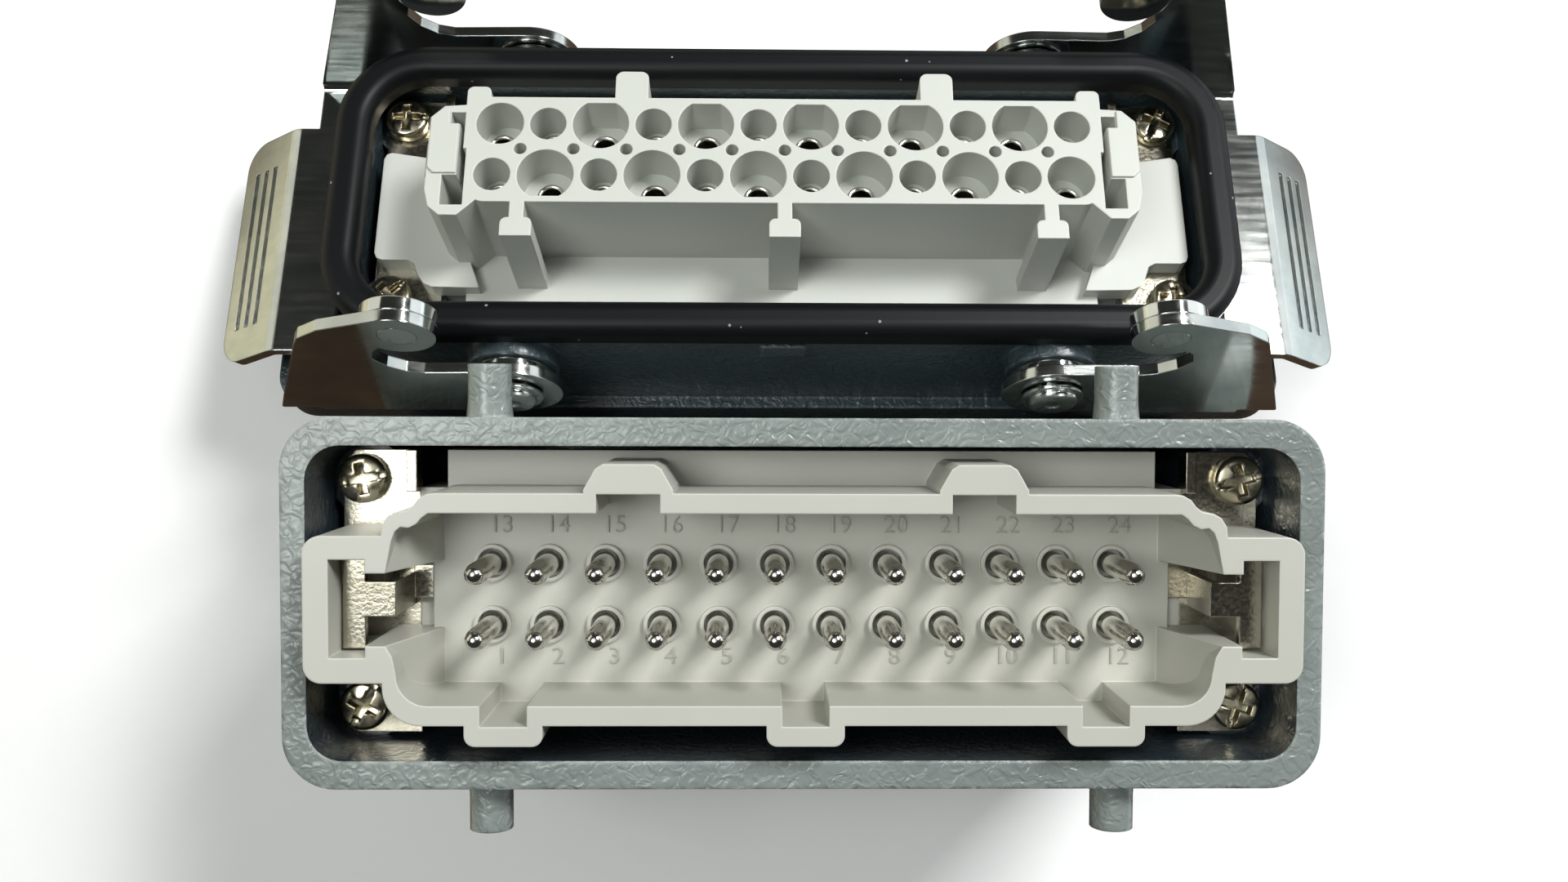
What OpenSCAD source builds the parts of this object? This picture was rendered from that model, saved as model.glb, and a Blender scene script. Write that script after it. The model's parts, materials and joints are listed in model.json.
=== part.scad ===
// Heavy duty rectangular connector: a cast hood with a 24-pin insert, standing on its roof with its
// mating side up, and a bulkhead housing with the 24-socket insert and two locking levers, leaning on it.
// Millimetres, +X along the contact rows, +Z up. The origin is the middle of the hood's roof, on the floor.

/* [Contacts] */
// Contacts in one row
columns = 12; // [8:1:14]
// Distance from one contact to the next
pitch = 6.65; // [6.5:0.05:7]
// Distance between the two rows
row_gap = 7.3; // [7:0.1:8]
// Diameter of a contact pin
pin_d = 2.5; // [2:0.1:2.8]
// Height of the pin tips above the screw plates
pin_top = 14.6; // [13:0.2:15]
// Wall of a socket
socket_wall = 0.6; // [0.4:0.1:0.8]
// Diameter of a wide chamber in the socket face
chamber_wide_d = 7.1; // [6.6:0.1:7.3]
// Diameter of a narrow chamber in the socket face
chamber_narrow_d = 4.6; // [4.2:0.1:5]
// Depth of the chambers
chamber_depth = 6; // [4:0.5:7]

/* [Inserts] */
// Distance from the screw plates to the shroud's rim
shroud_h = 15.2; // [14.8:0.2:16]
// Wall of the shroud
shroud_wall = 2.2; // [1.8:0.1:2.4]
// Height of the pin floor above the screw plates
floor_z = 2.6; // [2.4:0.1:4]
// Height of the socket face above the screw plates
face_z = 17; // [16.4:0.2:18]
// Height of the inserts' long flanges above the screw plates
ledge_z = 2; // [1:0.2:2.4]
// Depth of the terminal blocks below the screw plates
terminal_depth = 17.5; // [15:0.5:18]
// Thickness of the metal screw plates
plate_t = 1.2; // [0.8:0.1:1.6]
// Thickness of the earth blades
blade_t = 1; // [0.6:0.1:1.2]

/* [Screws] */
// Diameter of the heads of the mounting screws
screw_head_d = 5.8; // [5:0.1:6.4]
// Height of the heads of the mounting screws
screw_head_h = 1.8; // [1.4:0.1:2.4]
// Diameter of the threads of the mounting screws
screw_d = 3.5; // [3:0.1:4]
// Length of the threads of the mounting screws
screw_l = 10; // [8:0.5:12]

/* [Hood] */
// Height of the hood from roof to rim
hood_h = 62.6; // [58:0.2:76]
// Side wall of the hood at the rim
hood_wall = 3.2; // [2.6:0.1:3.6]
// End wall of the hood
hood_end_wall = 2.75; // [2.4:0.05:3.4]
// Thickness of the roof
roof_t = 3.5; // [3:0.1:5]
// Slope of the hood's outer sides
draft = 1.37; // [0.5:0.01:2]
// Depth of the screw plates below the hood's rim
rim_above_plates = 11.1; // [11:0.1:12.2]
// Diameter of the locking pegs
peg_d = 5; // [4:0.1:6]
// Length of the locking pegs
peg_l = 6; // [5:0.1:6.4]
// Distance from the middle to a locking peg
peg_x = 36.3; // [34:0.1:38]
// Distance from the rim to the middle of a locking peg
peg_below_rim = 5.5; // [5:0.1:7]
// Diameter of the tapped cable entry
entry_d = 23.5; // [18.5:0.5:24]
// Distance the cable entry stands out of the end wall
entry_l = 6; // [4:0.5:8]

/* [Housing] */
// Height from the panel to the top of the rim gasket
housing_h = 28; // [27:0.2:30]
// Wall of the housing
housing_wall = 3.2; // [2.8:0.1:3.6]
// Thickness of the flange
flange_t = 4; // [3.5:0.1:5]
// Width of the flange
flange_w = 45; // [44:0.5:48]
// Distance the flange stands out past each end wall
flange_end = 12.5; // [11:0.5:14]
// Diameter of the panel screw holes
panel_hole_d = 5.5; // [4.5:0.1:6]
// Width of the rim gasket's profile
gasket_w = 4.8; // [4.4:0.1:5]
// Height of the rim gasket's profile
gasket_t = 3.6; // [3:0.1:4]
// Angle at which the housing leans back
tilt = 21.8; // [18:0.1:24]
// Sideways place of the leaning housing
lean_x = -2.1; // [-3:0.1:3]

/* [Levers] */
// Sheet thickness of the levers
lever_t = 1.5; // [1.2:0.1:1.6]
// Distance from the gasket's top down to the lever pivots
pivot_below = 9.4; // [9:0.1:9.8]
// Diameter of the pivot studs
stud_d = 6; // [5:0.1:6.4]
// Diameter of the discs that pull the pegs down
disc_d = 9.2; // [8.8:0.1:9.6]
// Thickness of the discs
disc_t = 3.2; // [2.8:0.1:3.4]
// Angle from the open to the locked lever
lever_swing = 29; // [27:0.5:30]
// Depth the rim gasket is squeezed when the halves are locked
squeeze = 1.2; // [0.8:0.1:1.6]
// Length of the finger grip
grip_l = 9.6; // [7:0.2:11]
// Slope of the finger grip
grip_slope = 35; // [30:1:40]

/* [Hidden] */
$fn = 48;
EPS = 0.01;

// clearances
slip = 0.1;          // metal piece in a moulded pocket, each side
pivot_play = 0.05;   // lever on its stud, radial
side_play = 0.2;     // lever between its washers, each side
seat = 0.02;         // fixed pin in its bore, radial
lean_gap = 0.1;      // housing's edge from the hood's side

// along the rows: the contact field, then the earth contact, then the end box
last_x = (columns - 1) / 2 * pitch;
block_x = last_x + 3;
tower_x = block_x + 5.2;
cavity_x = tower_x + 1.2;
slot_x = cavity_x + shroud_wall;
slot_end_x = slot_x + 4;
insert_x = slot_end_x + 2.8;
screw_x = insert_x - 3;
ledge_x = block_x + 2.4;

// across the rows
block_y = row_gap / 2 + 3.85;
cavity_y = block_y + 3.1;
shroud_y = cavity_y + shroud_wall;
key_y = cavity_y + 2.2;
ledge_y = 16.9;
screw_y = 13.5;
box_y = 8.1;
low_keys = [-33.2, 0, 33.2];
high_keys = [-19.5, 19.5];

// hood
hood_in_x = insert_x + 1;
hood_in_y = ledge_y + 0.9;
hood_x = hood_in_x + hood_end_wall;
hood_y = hood_in_y + hood_wall;
hood_r = 6;
hood_in_r = 4;
hood_taper = hood_h * tan(draft);
roof_edge = 2;
boss_r = 4.5;
peg_foot_r = 2.9;
male_z = hood_h - rim_above_plates;
entry_z = hood_in_y - 0.8 + roof_t - 1.5;
entry_r = min(entry_d / 2 + 3, hood_y - hood_r - 0.2);

// housing, in its own upright frame with z = 0 at the panel
wall_in_x = insert_x + 0.8;
wall_in_y = ledge_y + 0.7;
wall_x = wall_in_x + housing_wall;
wall_y = wall_in_y + housing_wall;
gasket_x = wall_x + 1;
gasket_y = wall_y + 0.7;
gasket_r = 12;
gasket_top_r = 1.8;
wall_r = 11;
wall_in_r = 3.5;
female_z = housing_h - 9;
flange_x = wall_x + flange_end;
panel_screw_x = flange_x - 6.5;
panel_screw_y = flange_w / 2 - 6.5;
foot_z = flange_w / 2 * sin(tilt);

// levers
pivot_z = housing_h - pivot_below;
pivot_x = peg_x - 0.8;
boss_y = wall_y + 2.2;
pivot_boss_r = 6;
inner_washer_t = 1.3;
outer_washer_t = 0.6;
arm_y = boss_y + inner_washer_t + side_play;
arm_out_y = arm_y + lever_t;
head_y = arm_out_y + side_play + outer_washer_t;
head_t = 0.9;
head_r = 3.3;
outer_washer_r = 4.1;
inner_washer_r = 5.2;
stud_y = wall_y - 1.8;
locked_x = peg_x - pivot_x;
locked_z = pivot_below + peg_below_rim - squeeze + peg_d / 2 + disc_d / 2;
disc_x = pivot_x + locked_x * cos(lever_swing) + locked_z * sin(lever_swing);
disc_z = pivot_z - locked_x * sin(lever_swing) + locked_z * cos(lever_swing);
arm_end_r = 6.6;
bend_r = 2.5;
grip_bend_r = 1.5;
tray_x = gasket_x + 2;
tray_l = 7.5;
tray_z = pivot_z - arm_end_r - 1.2;
arm_edge_x = tray_x + 5.2;
grip_x = tray_x + tray_l;
grip_w = 35;
grip_r = 4;

// the housing leans until the first of these edges meets the hood's drafted side
function lean(reach, z) = hood_y - (hood_h - foot_z - reach * sin(tilt) - z * cos(tilt)) * tan(draft)
    + lean_gap + reach * cos(tilt) - z * sin(tilt);
lean_y = max(
    lean(flange_w / 2, 0),
    lean(head_y + head_t, pivot_z - head_r),
    lean(head_y, pivot_z - outer_washer_r),
    lean(arm_out_y, pivot_z - arm_end_r));

// ---------- shared shapes ----------

module rounded(l, w, r, h) {
    for (x = [-1, 1], y = [-1, 1]) translate([x * (l - r), y * (w - r), 0]) cylinder(r = r, h = h);
    translate([-l, r - w, 0]) cube([2 * l, 2 * (w - r), h]);
    translate([r - l, -w, 0]) cube([2 * (l - r), 2 * w, h]);
}

// sweeps a profile round a rounded rectangle; the profile's x runs outwards from the path's corner centre
module loop(l, w, r) {
    for (a = [0, 180]) rotate([0, 0, a]) {
        translate([r - l, r - w, 0]) rotate([90, 0, 90]) mirror([1, 0, 0])
            linear_extrude(2 * (l - r)) children();
        translate([l - r, r - w, 0]) rotate([90, 0, 0]) mirror([0, 0, 1])
            linear_extrude(2 * (w - r)) children();
        for (s = [0, 1]) mirror([s, 0, 0]) translate([l - r, w - r, 0])
            rotate_extrude(angle = 90) children();
    }
}

module box(x0, x1, y0, y1, z0, z1) {
    translate([x0, y0, z0]) cube([x1 - x0, y1 - y0, z1 - z0]);
}

module contacts() {
    for (i = [0 : columns - 1], row = [0, 1])
        translate([(i - (columns - 1) / 2) * pitch, (row - 0.5) * row_gap, 0]) children();
}

module corners() {
    for (x = [-1, 1], y = [-1, 1]) translate([x * screw_x, y * screw_y, 0]) children();
}

module in_hood() { translate([0, 0, male_z]) children(); }

module in_housing() { translate([lean_x, lean_y, foot_z]) rotate([-tilt, 0, 0]) children(); }

module in_female() { in_housing() translate([0, 0, female_z]) children(); }

// ---------- hood half ----------

module drafted(l, w, r, h, d) {
    for (x = [-1, 1], y = [-1, 1]) translate([x * (l - r), y * (w - r), 0]) cylinder(r1 = r - d, r2 = r, h = h);
    translate([r - l, 0, 0]) rotate([90, 0, 90]) linear_extrude(2 * (l - r))
        polygon([[d - w, 0], [w - d, 0], [w, h], [-w, h]]);
    translate([0, w - r, 0]) rotate([90, 0, 0]) linear_extrude(2 * (w - r))
        polygon([[d - l, 0], [l - d, 0], [l, h], [-l, h]]);
}

module pegs() {
    for (x = [-1, 1], s = [0, 1]) mirror([0, s, 0])
        translate([x * peg_x, hood_in_y + 0.5, hood_h - peg_below_rim]) rotate([-90, 0, 0]) {
            cylinder(d = peg_d, h = hood_y + peg_l - hood_in_y - 0.5);
            cylinder(r1 = peg_foot_r, r2 = peg_d / 2, h = hood_wall + 1.4);
        }
}

module hood_shell() color([0.54, 0.57, 0.59]) difference() {
    union() {
        difference() {
            union() {
                translate([0, 0, roof_edge]) drafted(hood_x, hood_y, hood_r, hood_h - roof_edge, hood_taper);
                drafted(hood_x - hood_taper, hood_y - hood_taper, hood_r - hood_taper, roof_edge, roof_edge);
                translate([hood_in_x, 0, entry_z]) rotate([0, 90, 0])
                    cylinder(r = entry_r, h = hood_end_wall + entry_l);
            }
            translate([0, 0, roof_t]) drafted(hood_in_x, hood_in_y, hood_in_r, hood_h - roof_t + EPS, hood_taper);
        }
        corners() translate([0, 0, roof_t - EPS]) cylinder(r = boss_r, h = male_z - roof_t + EPS);
        pegs();
    }
    corners() translate([0, 0, male_z - screw_l - 1]) cylinder(r = screw_d / 2 + seat, h = screw_l + 2);
    translate([hood_in_x - hood_taper, 0, entry_z]) rotate([0, 90, 0])
        cylinder(d = entry_d, h = hood_taper + hood_end_wall + entry_l + EPS);
}

// ---------- what both inserts share, z = 0 at the seat of the screw plates ----------

plate_x = tower_x + 0.6;
plate_end_x = insert_x - 0.5;
plate_cut = 1.5;
leg_w = 10;
leg_h = 13;
terminal_y = block_y + 4.9;
clamp_w = 4.8;
clamp_in_y = 1.4;
clamp_out_y = block_y;
clamp_top = -4.5;
clamp_h = 10.5;
clamp_screw_z = clamp_top - 6.5;
clamp_screw_d = 3;
clamp_head_d = 4.2;
wire_d = 2.6;
ledge_t = 4;
earth_screw_d = 4;
earth_head_d = 6;
earth_head_h = 2.2;
earth_screw_l = 5;
earth_z = -7;

module each_clamp() {
    for (s = [0, 1]) mirror([0, s, 0]) for (i = [0 : columns - 1])
        translate([(i - (columns - 1) / 2) * pitch, 0, 0]) children();
}

module terminal_block() {
    box(-plate_x, plate_x, -terminal_y, terminal_y, -terminal_depth, plate_t);
}

module clamp_pockets() {
    each_clamp() {
        box(-clamp_w / 2 - slip, clamp_w / 2 + slip, clamp_in_y, terminal_y + EPS, clamp_top - clamp_h - slip, clamp_top);
        translate([0, row_gap / 2, -terminal_depth - EPS]) cylinder(d = wire_d + 1, h = terminal_depth + clamp_top - clamp_h);
    }
    for (s = [0, 1]) mirror([s, 0, 0]) translate([plate_x - earth_screw_l - 1, 0, earth_z]) rotate([0, 90, 0])
        cylinder(r = earth_screw_d / 2 + seat, h = earth_screw_l + 1 + EPS);
}

module clamps() {
    each_clamp() difference() {
        box(-clamp_w / 2, clamp_w / 2, clamp_in_y, clamp_out_y, clamp_top - clamp_h, clamp_top);
        translate([0, row_gap / 2, clamp_top - clamp_h - EPS]) cylinder(d = wire_d, h = clamp_h - 2.5);
        translate([0, row_gap / 2, clamp_screw_z]) rotate([-90, 0, 0])
            cylinder(r = clamp_screw_d / 2 + seat, h = clamp_out_y);
    }
}

module clamp_screws() {
    each_clamp() translate([0, 0, clamp_screw_z]) rotate([-90, 0, 0]) difference() {
        union() {
            translate([0, 0, row_gap / 2 + 1]) cylinder(d = clamp_screw_d, h = clamp_out_y - row_gap / 2);
            translate([0, 0, clamp_out_y]) cylinder(d = clamp_head_d, h = 2.6);
        }
        translate([-clamp_head_d, -0.4, clamp_out_y + 1.6]) cube([2 * clamp_head_d, 0.8, 2]);
    }
}

module end_plate() {
    difference() {
        union() {
            linear_extrude(plate_t) polygon([
                [plate_x, -ledge_y], [plate_end_x - plate_cut, -ledge_y], [plate_end_x, plate_cut - ledge_y],
                [plate_end_x, ledge_y - plate_cut], [plate_end_x - plate_cut, ledge_y], [plate_x, ledge_y]]);
            box(plate_x, plate_x + plate_t, -leg_w / 2, leg_w / 2, -leg_h, EPS);
            box(plate_x, plate_x + plate_t, cavity_y + 1.4, ledge_y, 0, plate_t + 2);
        }
        corners() translate([0, 0, -1]) cylinder(d = screw_d + 0.6, h = plate_t + 2);
        translate([plate_x - 1, 0, earth_z]) rotate([0, 90, 0]) cylinder(d = earth_screw_d + 0.6, h = plate_t + 2);
    }
}

module mounting_screws(turns) {
    for (i = [0 : 3]) translate([(i % 2 * 2 - 1) * screw_x, (i < 2 ? -1 : 1) * screw_y, plate_t]) difference() {
        union() {
            translate([0, 0, -screw_l]) cylinder(d = screw_d, h = screw_l + EPS);
            cylinder(d = screw_head_d, h = screw_head_h - 0.5);
            translate([0, 0, screw_head_h - 0.5]) cylinder(d1 = screw_head_d, d2 = screw_head_d - 1, h = 0.5);
        }
        rotate([0, 0, turns[i]]) {
            box(-screw_head_d, screw_head_d, -0.4, 0.4, screw_head_h - 0.8, screw_head_h + 1);
            box(-1.9, 1.9, -0.55, 0.55, screw_head_h - 1.4, screw_head_h + 1);
            box(-0.55, 0.55, -1.9, 1.9, screw_head_h - 1.4, screw_head_h + 1);
        }
    }
}

module earth_screws() {
    for (s = [0, 1]) mirror([s, 0, 0]) translate([plate_x, 0, earth_z]) rotate([0, 90, 0]) difference() {
        union() {
            translate([0, 0, -earth_screw_l]) cylinder(d = earth_screw_d, h = earth_screw_l + plate_t + EPS);
            translate([0, 0, plate_t]) cylinder(d = earth_head_d, h = earth_head_h);
        }
        translate([-0.5, -earth_head_d, plate_t + earth_head_h - 1]) cube([1, 2 * earth_head_d, 2]);
    }
}

// ---------- pin insert ----------

end_x = cavity_x + 0.4;
end_r = 4.2;
end_in_x = cavity_x - 1.1;
end_in_r = 3.4;
floor_end_x = block_x + 2.7;
hatch_x = block_x + 4;
hatch_y = 4;

module shroud_outer() {
    for (s = [0, 1]) mirror([s, 0]) {
        translate([0, -shroud_y]) square([end_x - end_r, shroud_y]);
        translate([0, end_r - shroud_y]) square([end_x, shroud_y]);
        translate([end_x - end_r, end_r - shroud_y]) circle(r = end_r);
        polygon([
            [0, 0], [end_x, 0], [end_x, box_y], [end_x - 0.1, box_y + 1.1], [end_x - 0.7, box_y + 2.1],
            [end_x - 1.6, cavity_y + 0.1], [end_x - 2.8, cavity_y + 0.3], [end_x - 3.5, cavity_y + 0.8],
            [end_x - 4.1, shroud_y - 0.6], [end_x - 5, shroud_y - 0.1], [end_x - 5.8, shroud_y], [0, shroud_y]]);
        for (y = [-1, 1]) translate([insert_x - 2, y * (box_y - 2)]) circle(r = 2);
        translate([cavity_x, -box_y]) square([insert_x - 2 - cavity_x, 2 * box_y]);
        translate([cavity_x, 2 - box_y]) square([insert_x - cavity_x, 2 * (box_y - 2)]);
    }
    for (x = high_keys) translate([x, 0])
        polygon([[-4.9, 0], [4.9, 0], [4.9, shroud_y + 0.4], [3.6, key_y + 2.7], [2.8, key_y + 3.2],
            [-2.8, key_y + 3.2], [-3.6, key_y + 2.7], [-4.9, shroud_y + 0.4]]);
    for (x = low_keys) translate([x, 0]) {
        translate([-4.3, -shroud_y - 1.1]) square([8.6, 2]);
        for (i = [-1, 1]) translate([i * 3.1, -shroud_y - 1.1]) circle(r = 1.2);
        translate([-3.1, -shroud_y - 2.3]) square([6.2, 3]);
    }
}

module shroud_cavity() {
    for (s = [0, 1]) mirror([s, 0]) {
        translate([0, -cavity_y]) square([end_in_x - end_in_r, cavity_y]);
        translate([end_in_x - end_in_r, end_in_r - cavity_y]) circle(r = end_in_r);
        polygon([
            [0, end_in_r - cavity_y], [end_in_x, end_in_r - cavity_y], [end_in_x + 0.4, -5.2],
            [cavity_x, -hatch_y], [cavity_x, hatch_y], [cavity_x - 0.7, box_y - 0.5], [end_in_x, box_y + 0.5],
            [end_in_x - 0.6, box_y + 1], [end_in_x - 1.5, box_y + 0.9], [end_in_x - 2.3, box_y + 1.3],
            [end_in_x - 2.9, cavity_y - 0.5], [end_in_x - 3.6, cavity_y], [0, cavity_y]]);
    }
    for (x = high_keys) translate([x - 3.5, 0]) square([7, key_y - 0.1]);
    for (x = low_keys) translate([x - 2.6, -key_y - 0.1]) square([5.2, key_y]);
}

module male_insert() color([0.80, 0.80, 0.77]) in_hood() difference() {
    union() {
        terminal_block();
        box(-ledge_x, ledge_x, 1.4 - ledge_y, ledge_y, ledge_z - ledge_t, ledge_z);
        translate([0, 0, plate_t]) linear_extrude(shroud_h - plate_t) shroud_outer();
    }
    difference() {
        intersection() {
            translate([0, 0, floor_z]) linear_extrude(shroud_h) shroud_cavity();
            union() {
                rotate([90, 0, 0]) linear_extrude(4 * shroud_y, center = true) polygon([
                    [-floor_end_x, 0], [floor_end_x, 0], [floor_end_x, floor_z],
                    [cavity_x + 0.1, shroud_h], [cavity_x + 0.1, shroud_h + 1],
                    [-cavity_x - 0.1, shroud_h + 1], [-cavity_x - 0.1, shroud_h], [-floor_end_x, floor_z]]);
                box(-slot_x, slot_x, -hatch_y, hatch_y, 0, shroud_h + 1);
            }
        }
        contacts() translate([0, 0, floor_z - 1]) cylinder(r = 2.2, h = 1.8);
    }
    for (s = [0, 1]) mirror([s, 0, 0]) {
        box(slot_x, slot_end_x, -5.3, 5.5, plate_t - EPS, shroud_h + 1);
        box(hatch_x, slot_x + EPS, -hatch_y, hatch_y, plate_t - EPS, shroud_h + 1);
    }
    contacts() {
        translate([0, 0, clamp_top - EPS]) cylinder(r = pin_d / 2 + seat, h = 2 - clamp_top);
        translate([0, 0, 1.2]) cylinder(r = pin_d / 2 + 0.5, h = 4);
    }
    clamp_pockets();
}

module male_pins() color([0.86, 0.86, 0.84]) in_hood() contacts() {
    translate([0, 0, clamp_top]) cylinder(d = pin_d, h = pin_top - pin_d / 2 - clamp_top);
    translate([0, 0, pin_top - pin_d / 2]) sphere(d = pin_d);
}

module male_clamps() color([0.72, 0.72, 0.68]) in_hood() clamps();

module male_clamp_screws() color([0.7, 0.7, 0.68]) in_hood() clamp_screws();

module male_left_plate() color([0.74, 0.71, 0.64]) in_hood() mirror([1, 0, 0]) end_plate();

module male_right_plate() color([0.74, 0.71, 0.64]) in_hood() end_plate();

blade_z = pin_top - 4.6;
blade_head_y = 5;
blade_x = cavity_x - 0.1;
tongue_low_y = -1.4;
tongue_high_y = 2.5;

module male_blade() {
    box(slot_x + 1.1, slot_end_x - 0.4, -blade_head_y, blade_head_y, blade_z, blade_z + blade_t);
    box(blade_x, slot_x + 1.1, tongue_low_y, tongue_high_y, blade_z, blade_z + blade_t);
    box(blade_x, blade_x + blade_t, tongue_low_y, tongue_high_y, plate_t, blade_z + blade_t);
    box(hatch_x + slip, cavity_x, tongue_low_y + 0.8, tongue_high_y + 0.8, plate_t, plate_t + blade_t);
}

module male_left_earth_blade() color([0.68, 0.67, 0.64]) in_hood() mirror([1, 0, 0]) male_blade();

module male_right_earth_blade() color([0.68, 0.67, 0.64]) in_hood() male_blade();

module male_mounting_screws() color([0.72, 0.68, 0.58]) in_hood() mounting_screws([62, 100, 18, 48]);

module male_earth_screws() color([0.72, 0.68, 0.58]) in_hood() earth_screws();

// ---------- housing half ----------

module flank(y0, y1) {
    for (x = [-1, 1], s = [0, 1]) mirror([0, s, 0])
        translate([x * pivot_x, y0, pivot_z]) rotate([-90, 0, 0]) linear_extrude(y1 - y0) children();
}

module rim_tongue(w, h) {
    loop(gasket_x, gasket_y, gasket_r) translate([gasket_r - gasket_w / 2 - w / 2, -1]) square([w, h + 1]);
}

module housing_shell() color([0.30, 0.34, 0.36]) in_housing() difference() {
    union() {
        difference() {
            union() {
                rounded(wall_x, wall_y, wall_r, housing_h - gasket_t);
                rounded(flange_x, flange_w / 2, 5, flange_t);
                flank(wall_in_y + 1, boss_y) circle(r = pivot_boss_r);
                translate([0, 0, housing_h - gasket_t]) rim_tongue(1.6, 1.5);
                translate([-3, -wall_y - 0.8, housing_h - gasket_t - 4]) cube([6, 2, 3]);
            }
            translate([0, 0, -1]) rounded(wall_in_x, wall_in_y, wall_in_r, housing_h);
        }
        corners() cylinder(r = boss_r, h = female_z);
    }
    corners() translate([0, 0, female_z - screw_l - 1]) cylinder(r = screw_d / 2 + seat, h = screw_l + 2);
    for (x = [-1, 1], y = [-1, 1]) translate([x * panel_screw_x, y * panel_screw_y, -1])
        cylinder(d = panel_hole_d, h = flange_t + 2);
    flank(stud_y, boss_y + 1) circle(r = stud_d / 2 + seat);
    difference() {
        translate([0, 0, -1]) rounded(wall_x - 0.5, wall_y - 0.5, wall_r - 0.5, 2.5);
        translate([0, 0, -2]) rounded(wall_x - 2.7, wall_y - 2.7, wall_r - 2.7, 5);
    }
}

module panel_seal() color([0.06, 0.06, 0.06]) in_housing() difference() {
    rounded(wall_x - 0.6, wall_y - 0.6, wall_r - 0.6, 1.5);
    translate([0, 0, -1]) rounded(wall_x - 2.6, wall_y - 2.6, wall_r - 2.6, 5);
}

module rim_gasket() color([0.05, 0.05, 0.06]) in_housing() translate([0, 0, housing_h - gasket_t]) difference() {
    loop(gasket_x, gasket_y, gasket_r) translate([gasket_r - gasket_w, 0]) {
        square([gasket_w, gasket_t - gasket_top_r]);
        translate([gasket_top_r, 0]) square([gasket_w - 2 * gasket_top_r, gasket_t]);
        for (x = [gasket_top_r, gasket_w - gasket_top_r]) translate([x, gasket_t - gasket_top_r])
            circle(r = gasket_top_r);
    }
    rim_tongue(1.6 + 2 * slip, 1.5 + slip);
}

// ---------- socket insert ----------

module female_face() {
    translate([2 - block_x, -block_y]) square([2 * block_x - 4, 2 * block_y]);
    for (s = [0, 1], t = [0, 1]) mirror([s, 0]) mirror([0, t]) {
        for (y = [2.5, block_y - 2.2]) translate([block_x - 2.2, y]) circle(r = 2.2);
        translate([block_x - 4, 2.5]) square([4, block_y - 4.7]);
    }
    for (x = high_keys) translate([x, 0]) {
        translate([-2.1, 0]) square([4.2, cavity_y - 0.2]);
        for (i = [-1, 1]) translate([i * 1.1, cavity_y - 0.2]) circle(r = 1);
        translate([-1.1, 0]) square([2.2, cavity_y + 0.8]);
    }
    for (s = [0, 1]) mirror([s, 0]) translate([block_x - 2.2, 0]) {
        square([3, block_y + 0.7]);
        for (x = [0.8, 2.2]) translate([x, block_y + 0.7]) circle(r = 0.8);
        translate([0.8, 0]) square([1.4, block_y + 1.5]);
    }
    for (x = low_keys) translate([x, 0]) {
        translate([-0.9, -block_y - 2.4]) square([1.8, 4]);
        translate([-1.95, -block_y - 4.7]) square([3.9, 1.7]);
        for (i = [-1, 1]) translate([i * 1.15, -block_y - 3]) circle(r = 0.8);
        translate([-1.15, -block_y - 3]) square([2.3, 0.8]);
    }
}

module female_tower() {
    difference() {
        polygon([
            [block_x - 2, -block_y + 1], [block_x + 1, -block_y - 1.9], [tower_x - 2, -block_y - 1.9],
            [tower_x - 0.6, -block_y - 0.7], [tower_x, -block_y + 1.6], [tower_x, 4.4], [tower_x - 1.7, 6.1],
            [block_x + 0.6, 6.3], [block_x - 2, 7]]);
        translate([block_x + 0.4, 3.5]) square([2.2, 1.7]);
        translate([block_x + 0.4, -3.8]) square([1, 7.5]);
        translate([block_x + 0.4, -block_y - 0.5]) square([2.8, block_y - 3.3]);
    }
}

module chamber(i, row) {
    wide = (i + row) % 2 == 1;
    last = i == 0 || i == columns - 1;
    side = i == 0 ? 1 : -1;
    x = (i - (columns - 1) / 2) * pitch;
    y = (row - 0.5) * row_gap;
    translate([x + (wide && last ? side * 0.6 : 0), y])
        circle(d = wide ? (last ? chamber_wide_d - 1.1 : chamber_wide_d) : chamber_narrow_d);
}

ear_x = insert_x - 0.9;
ear_t = 2.8;
ear_y = block_y + 1.5;
tab_t = 0.3;

module ear() {
    polygon([
        [tower_x - 1, ear_y - 3.4], [ear_x - 1, ear_y - 1.9], [ear_x - 0.3, ear_y - 2.2], [ear_x, ear_y - 2.9],
        [ear_x, 1 - ear_y], [ear_x - 0.3, 0.3 - ear_y], [ear_x - 1, -ear_y], [screw_x - 2.4, -ear_y],
        [screw_x - 3.3, -ear_y - 0.5], [screw_x - 3.9, -ear_y - 2.2], [screw_x - 4.7, -ear_y - 3.4],
        [screw_x - 5.8, -ear_y - 3.9], [ledge_x, -ear_y - 4], [ledge_x - 2, -ear_y - 4], [tower_x - 3, -block_y - 0.5]]);
}

module end_tab() {
    polygon([
        [tower_x - 0.9, -3.6], [tower_x - 0.15, -2.8], [tower_x - 0.15, 4.3], [tower_x - 1.8, 5.9],
        [block_x + 2.75, 5.9], [block_x + 2.75, 3.4], [block_x + 1.5, 3.4], [block_x + 1.5, -3.6]]);
}

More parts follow.
